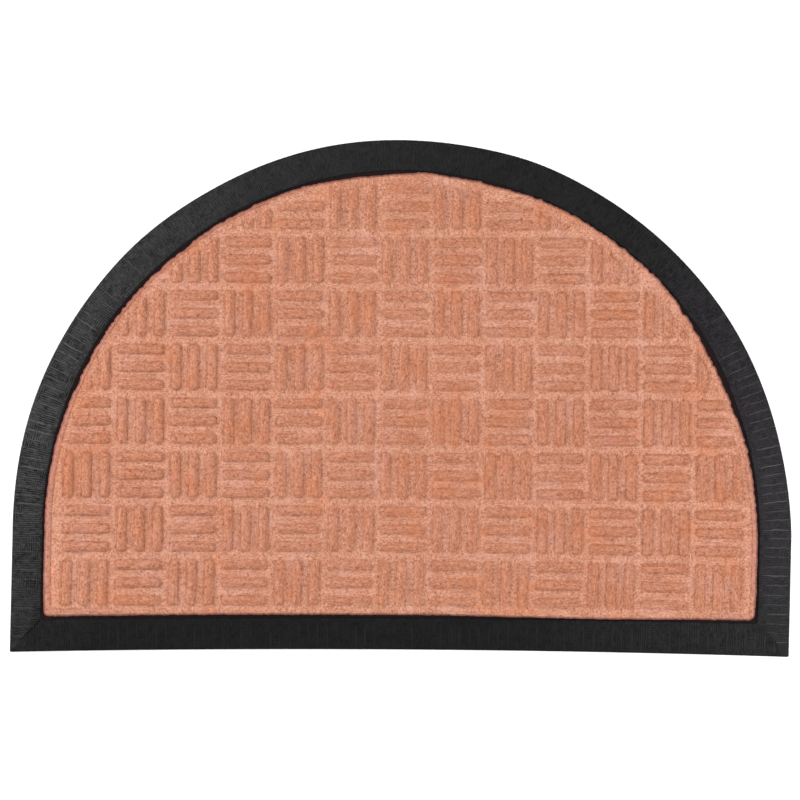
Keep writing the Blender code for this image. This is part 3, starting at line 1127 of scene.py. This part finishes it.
def carpetMaterial():
    material, tree, shader = startMaterial("terracottaPile", carpet["finish"])
    coords = objectCoords(tree)
    found = {name: noiseNode(tree, coords, settings) for name, settings in carpet["noises"].items()}
    mixed = mathNode(tree, "ADD", found["patches"], attributeNode(tree, "upright"))
    choice = rampNode(tree, mixed, carpet["turnSpan"])
    for kind in ("Fibre", "Ribbing"):
        level, upright = found["level" + kind], found["upright" + kind]
        found[kind.lower()] = mixNode(tree, choice, level, upright, "FLOAT")
    moreOnBars = rampNode(tree, attributeNode(tree, "bar"), *carpet["moreOnBars"])
    color = carpet["mid"]
    for pattern, span, ends, layer, everywhere in carpet["layers"]:
        share = rampNode(tree, found[pattern], span, ends)
        if not everywhere:
            share = mathNode(tree, "MULTIPLY", share, moreOnBars)
        color = mixNode(tree, share, color, carpet[layer])
    tree.links.new(pileColor(tree, coords, color), shader.inputs["Base Color"])
    addBump(tree, shader, found["fibre"], carpet["bump"])
    return material


fibres = {
    "kinds": [  # name, how many, colour
        ("paleFibre", 30000, (0.540, 0.294, 0.207)),
        ("terracottaFibre", 26000, (0.425, 0.170, 0.099)),
        ("deepFibre", 26000, (0.325, 0.113, 0.063)),
    ],
    "area": ((-0.278, 0.024), (0.278, 0.368)),  # lowest and highest x and y in the drawing
    "fromEdge": 0.0010,
    "directions": (0.45, 0.75),  # level below the first share, upright above the second
    "headingSpread": 0.35,
    "pitchSpread": 0.05,
    "length": (0.0010, 0.0030),
    "thickness": (0.00022, 0.00038),
    "lift": (0.00004, 0.00014),
    "sunk": 0.0001,
    "section": (0.5, 0.5, 0.3),  # half width, height and depth as shares of the thickness
    "tone": (500.0, 1.0),
    "toneSpan": (0.35, 0.65),
    "darker": 0.78,
    "rim": {
        "count": 9000,
        "color": (0.500, 0.250, 0.190),
        "inset": 0.0003,
        "heights": (0.0036, 0.0048),
        "length": (0.0007, 0.0018),
        "shorter": (0.5, 1.0),
        "headingSpread": 0.7,
        "pitchSpread": 0.15,
        "shadeInset": 0.0006,
    },
    "finish": {"roughness": 0.85, "specular": 0.12, "sheen": 0.1, "sheenRoughness": 0.5},
    "seed": 41,
}


def spindles(centres, headings, pitches, lengths, thicknesses, lifts):
    # each fibre is a slim spindle: two points and a small triangle between them
    level = np.zeros(len(headings))
    flat = np.column_stack((np.cos(headings), np.sin(headings), level))
    run = flat * np.cos(pitches)[:, None]
    run[:, 2] = np.sin(pitches)
    sideways = np.column_stack((-flat[:, 1], flat[:, 0], level))
    up = np.array([0.0, 0.0, 1.0])
    half = lengths[:, None] / 2
    thick = thicknesses[:, None]
    crown = centres + up * lifts[:, None]
    sunk = up * fibres["sunk"]
    wide, high, low = (thick * share for share in fibres["section"])
    corners = (
        centres - run * half - sunk,
        centres + run * half - sunk,
        crown + up * high,
        crown - sideways * wide - up * low,
        crown + sideways * wide - up * low,
    )
    verts = np.stack(corners, axis=1)
    pattern = np.array([(0, 2, 3), (0, 3, 4), (0, 4, 2), (1, 3, 2), (1, 4, 3), (1, 2, 4)])
    faces = pattern[None, :, :] + (np.arange(len(centres)) * len(corners))[:, None, None]
    return verts.reshape(-1, 3), faces.reshape(-1, 3).tolist()


def fibreMaterial(name, color):
    material, tree, shader = startMaterial(name, fibres["finish"])
    coords = objectCoords(tree)
    tone = rampNode(tree, noiseNode(tree, coords, fibres["tone"]), fibres["toneSpan"])
    darker = tuple(channel * fibres["darker"] for channel in color)
    strand = mixNode(tree, tone, darker, color)
    tree.links.new(pileColor(tree, coords, strand), shader.inputs["Base Color"])
    return material


def addFibrePiece(name, color, points, centres, headings, pitches, lengths, rng):
    amount = len(points)
    thicknesses = rng.uniform(*fibres["thickness"], amount)
    lifts = rng.uniform(*fibres["lift"], amount)
    verts, faces = spindles(centres, headings, pitches, lengths, thicknesses, lifts)
    piece = addMesh(name, verts, faces, fibreMaterial(name, color))
    addPileTones(piece, points, len(verts) // amount)
    print(name, amount, "fibres")
    return piece


def addFibres():
    pieces = []
    rng = np.random.default_rng(fibres["seed"])
    levelUpTo, uprightFrom = fibres["directions"]
    spread = fibres["headingSpread"]
    for name, count, color in fibres["kinds"]:
        points = rng.uniform(*fibres["area"], (count * 2, 2))  # enough, as some fall outside
        points = points[depthInside(points) > fibres["fromEdge"]][:count]
        amount = len(points)
        centres = np.column_stack((laid(points), carpetHeight(points)))
        crossing = rng.random(amount)
        level, stray = rng.normal(0.0, spread, amount), rng.uniform(0.0, math.pi, amount)
        headings = np.where(crossing < levelUpTo, level, stray)
        upright = rng.normal(math.pi / 2, spread, amount)
        headings = np.where(crossing > uprightFrom, upright, headings)
        lengths = rng.uniform(*fibres["length"], amount)
        pitches = rng.normal(0.0, fibres["pitchSpread"], amount)
        pieces.append(addFibrePiece(name, color, points, centres, headings, pitches, lengths, rng))
    return pieces + [addRimFibres(rng)]


def addRimFibres(rng):
    # short fibres that stick out of the cut edge
    rim = fibres["rim"]
    drawn = carpetRing(rim["inset"])
    spots = layRing(drawn, rim["inset"], 0.0, raggedness(drawn))[:, :2]
    amount = rim["count"]
    station = rng.uniform(0.0, len(spots), amount)
    here = station.astype(int) % len(spots)
    after = (here + 1) % len(spots)
    share = (station - np.floor(station))[:, None]
    flat = spots[here] * (1.0 - share) + spots[after] * share
    along = spots[after] - spots[here]
    outwards = np.arctan2(-along[:, 0], along[:, 1])
    headings = outwards + rng.normal(0.0, rim["headingSpread"], amount)
    centres = np.column_stack((flat, rng.uniform(*rim["heights"], amount)))
    lengths = rng.uniform(*rim["length"], amount) * rng.uniform(*rim["shorter"], amount)
    pitches = rng.normal(0.0, rim["pitchSpread"], amount)
    # rim fibres take the pile's tones just inside the edge, painted shade included
    behind = carpetRing(rim["shadeInset"])[here]
    return addFibrePiece("rimFibre", rim["color"], behind, centres, headings, pitches, lengths, rng)


studio = {
    "metresPerPixel": 0.0007677,
    "picture": 800,
    "lookAt": (-0.00047, -0.00115),
    "cameraHeight": 6.0,
    "sensorWidth": 36.0,
    "floorColor": (0.92, 0.92, 0.92),
    "floorFinish": {"roughness": 0.9, "specular": 0.1},
    "floorHalf": 3.0,
    "ambient": 1.25,
    "lights": [  # name, place, size, watts
        ("leftSoftbox", (-1.58, 0.51, 0.50), 0.5, 33.0),
        ("rightSoftbox", (1.16, -0.31, 0.48), 0.5, 10.0),
    ],
}


def addFloor():
    half = studio["floorHalf"]
    corners = [(-half, -half, 0), (half, -half, 0), (half, half, 0), (-half, half, 0)]
    mesh = bpy.data.meshes.new("floor")
    mesh.from_pydata(corners, [], [(0, 1, 2, 3)])
    material, _, shader = startMaterial("paleFloor", studio["floorFinish"])
    shader.inputs["Base Color"].default_value = (*studio["floorColor"], 1.0)
    mesh.materials.append(material)
    floor = addObject("floor", mesh)


def addLights():
    world = bpy.data.worlds.new("studio")
    bpy.context.scene.world = world
    world.use_nodes = True
    background = world.node_tree.nodes["Background"]
    background.inputs["Color"].default_value = (1.0, 1.0, 1.0, 1.0)
    background.inputs["Strength"].default_value = studio["ambient"]
    for name, place, size, watts in studio["lights"]:
        light = bpy.data.lights.new(name, "AREA")
        light.energy = watts
        light.shape = "SQUARE"
        light.size = size
        lamp = addObject(name, light)
        lamp.location = place
        lamp.rotation_euler = (-Vector(place)).to_track_quat("-Z", "Y").to_euler()


def addCamera():
    data = bpy.data.cameras.new("camera")
    data.type = "PERSP"
    data.sensor_width = studio["sensorWidth"]
    pictureWidth = studio["metresPerPixel"] * studio["picture"]
    data.lens = data.sensor_width * studio["cameraHeight"] / pictureWidth
    camera = addObject("camera", data)
    camera.location = (*studio["lookAt"], studio["cameraHeight"])
    bpy.context.scene.camera = camera


addRubber()
addBorderRibs()
panel = addCarpet()
loose = addFibres()
addFloor()
addLights()
addCamera()
bpy.context.scene.view_settings.view_transform = "Standard"
print("floor, light and camera set")
